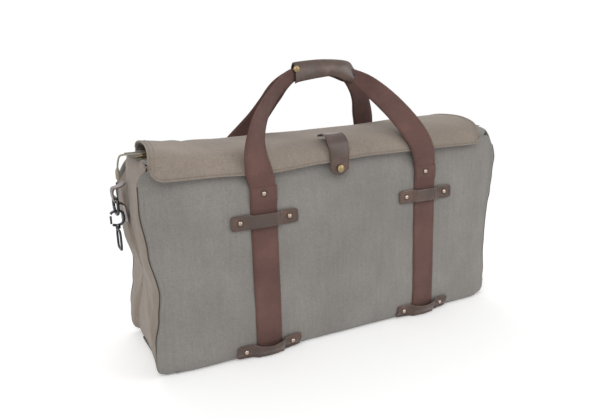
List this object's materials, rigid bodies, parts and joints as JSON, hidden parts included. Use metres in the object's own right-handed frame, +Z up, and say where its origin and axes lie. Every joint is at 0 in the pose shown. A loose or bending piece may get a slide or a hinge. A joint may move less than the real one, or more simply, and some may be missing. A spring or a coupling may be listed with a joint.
{
  "type": "canvas travel holdall",
  "caption": "Soft canvas weekender holdall with a top flap, webbing girth straps and handles, a leather grip, leather strap keepers and a swivel hook on an end ring.",
  "frame": {"origin": "middle of the underside of the base panel, on the floor", "axes": "+X along the bag towards the end away from the hook, -Y out of the front with the flap's lip, +Z up"},
  "size_m": [0.6084, 0.2068, 0.396],
  "materials": {
    "canvas": "matte",
    "lining": "matte",
    "webbing": "matte",
    "leather": "satin",
    "brass": "satin",
    "nickel": "polished",
    "dark_steel": "polished",
    "zip_tape": "matte",
    "cord": "matte",
    "board": "matte"
  },
  "bodies": {
    "bag": {"front_panel": "canvas", "back_panel": "canvas", "base_panel": "canvas", "end_panel_left": "canvas", "end_panel_right": "canvas", "top_strip_front": "canvas", "top_strip_back": "canvas", "lining": "lining", "base_board": "board", "zip_tape_front": "zip_tape", "zip_tape_back": "zip_tape", "snap_stud": "brass", "girth_strap_left": "webbing", "girth_strap_right": "webbing", "keeper_front_upper_left": "leather", "rivet_front_upper_left_left": "nickel", "rivet_front_upper_left_right": "nickel", "keeper_front_upper_right": "leather", "rivet_front_upper_right_left": "nickel", "rivet_front_upper_right_right": "nickel", "keeper_front_lower_left": "leather", "rivet_front_lower_left_left": "nickel", "rivet_front_lower_left_right": "nickel", "keeper_front_lower_right": "leather", "rivet_front_lower_right_left": "nickel", "rivet_front_lower_right_right": "nickel", "strap_rivet_front_left": "nickel", "strap_rivet_front_right": "nickel", "keeper_back_upper_left": "leather", "rivet_back_upper_left_left": "nickel", "rivet_back_upper_left_right": "nickel", "keeper_back_upper_right": "leather", "rivet_back_upper_right_left": "nickel", "rivet_back_upper_right_right": "nickel", "keeper_back_lower_left": "leather", "rivet_back_lower_left_left": "nickel", "rivet_back_lower_left_right": "nickel", "keeper_back_lower_right": "leather", "rivet_back_lower_right_left": "nickel", "rivet_back_lower_right_right": "nickel", "strap_rivet_back_left": "nickel", "strap_rivet_back_right": "nickel", "end_tab_left": "leather", "end_tab_right": "leather"},
    "flap_cover": {"flap": "canvas"},
    "closing_tab": {"snap_tab": "leather", "snap_cap": "brass"},
    "front_handle": {"handle_front": "webbing", "grip_leaf_front": "leather", "grip_snap_left": "brass", "grip_snap_right": "brass"},
    "back_handle": {"handle_back": "webbing", "grip_leaf_back": "leather"},
    "slider": {"zip_slider": "dark_steel", "zip_pull": "cord"},
    "left_ring": {"ring_left": "dark_steel"},
    "right_ring": {"ring_right": "dark_steel"},
    "hook": {"hook_body": "dark_steel"},
    "gate": {"hook_gate": "dark_steel"},
    "eye": {"hook_eye": "dark_steel"}
  },
  "joints": [
    {"name": "flap_open", "type": "hinge", "parent": "bag", "child": "flap_cover", "pos_m": [0, 0.0645, 0.284], "axis": [-1, 0, 0], "range_deg": [0, 115]},
    {"name": "front_handle_drop", "type": "hinge", "parent": "bag", "child": "front_handle", "pos_m": [0, -0.0986, 0.2366], "axis": [1, 0, 0], "range_deg": [0, 145]},
    {"name": "back_handle_drop", "type": "hinge", "parent": "bag", "child": "back_handle", "pos_m": [0, 0.08725, 0.23961], "axis": [-1, 0, 0], "range_deg": [0, 125]},
    {"name": "tab_lift", "type": "hinge", "parent": "flap_cover", "child": "closing_tab", "pos_m": [0, -0.066, 0.2952], "axis": [-1, 0, 0], "range_deg": [0, 100]},
    {"name": "zip_slide", "type": "slide", "parent": "bag", "child": "slider", "axis": [1, 0, 0], "range_m": [0, 0.53], "deforming": ["zip_pull"]},
    {"name": "left_ring_swing", "type": "hinge", "parent": "bag", "child": "left_ring", "pos_m": [-0.297, 0.026, 0.222], "axis": [0, 1, 0], "range_deg": [0, 100]},
    {"name": "right_ring_swing", "type": "hinge", "parent": "bag", "child": "right_ring", "pos_m": [0.297, 0.026, 0.222], "axis": [0, -1, 0], "range_deg": [0, 100]},
    {"name": "hook_swing", "type": "hinge", "parent": "left_ring", "child": "hook", "pos_m": [-0.297, 0.026, 0.199], "axis": [0, 1, 0], "range_deg": [0, 60]},
    {"name": "gate_press", "type": "hinge", "parent": "hook", "child": "gate", "pos_m": [-0.3055, 0.026, 0.1867], "axis": [0, 1, 0], "range_deg": [0, 20], "stiffness_Nm_per_rad": 0.02},
    {"name": "eye_swivel", "type": "hinge", "parent": "hook", "child": "eye", "pos_m": [-0.297, 0.026, 0.1777], "axis": [0, 0, 1], "continuous": true}
  ],
  "couplings": [
    {"joint": "front_handle_drop", "follows": "flap_open", "ratio": 1.25},
    {"joint": "back_handle_drop", "follows": "flap_open", "ratio": 1.08}
  ]
}
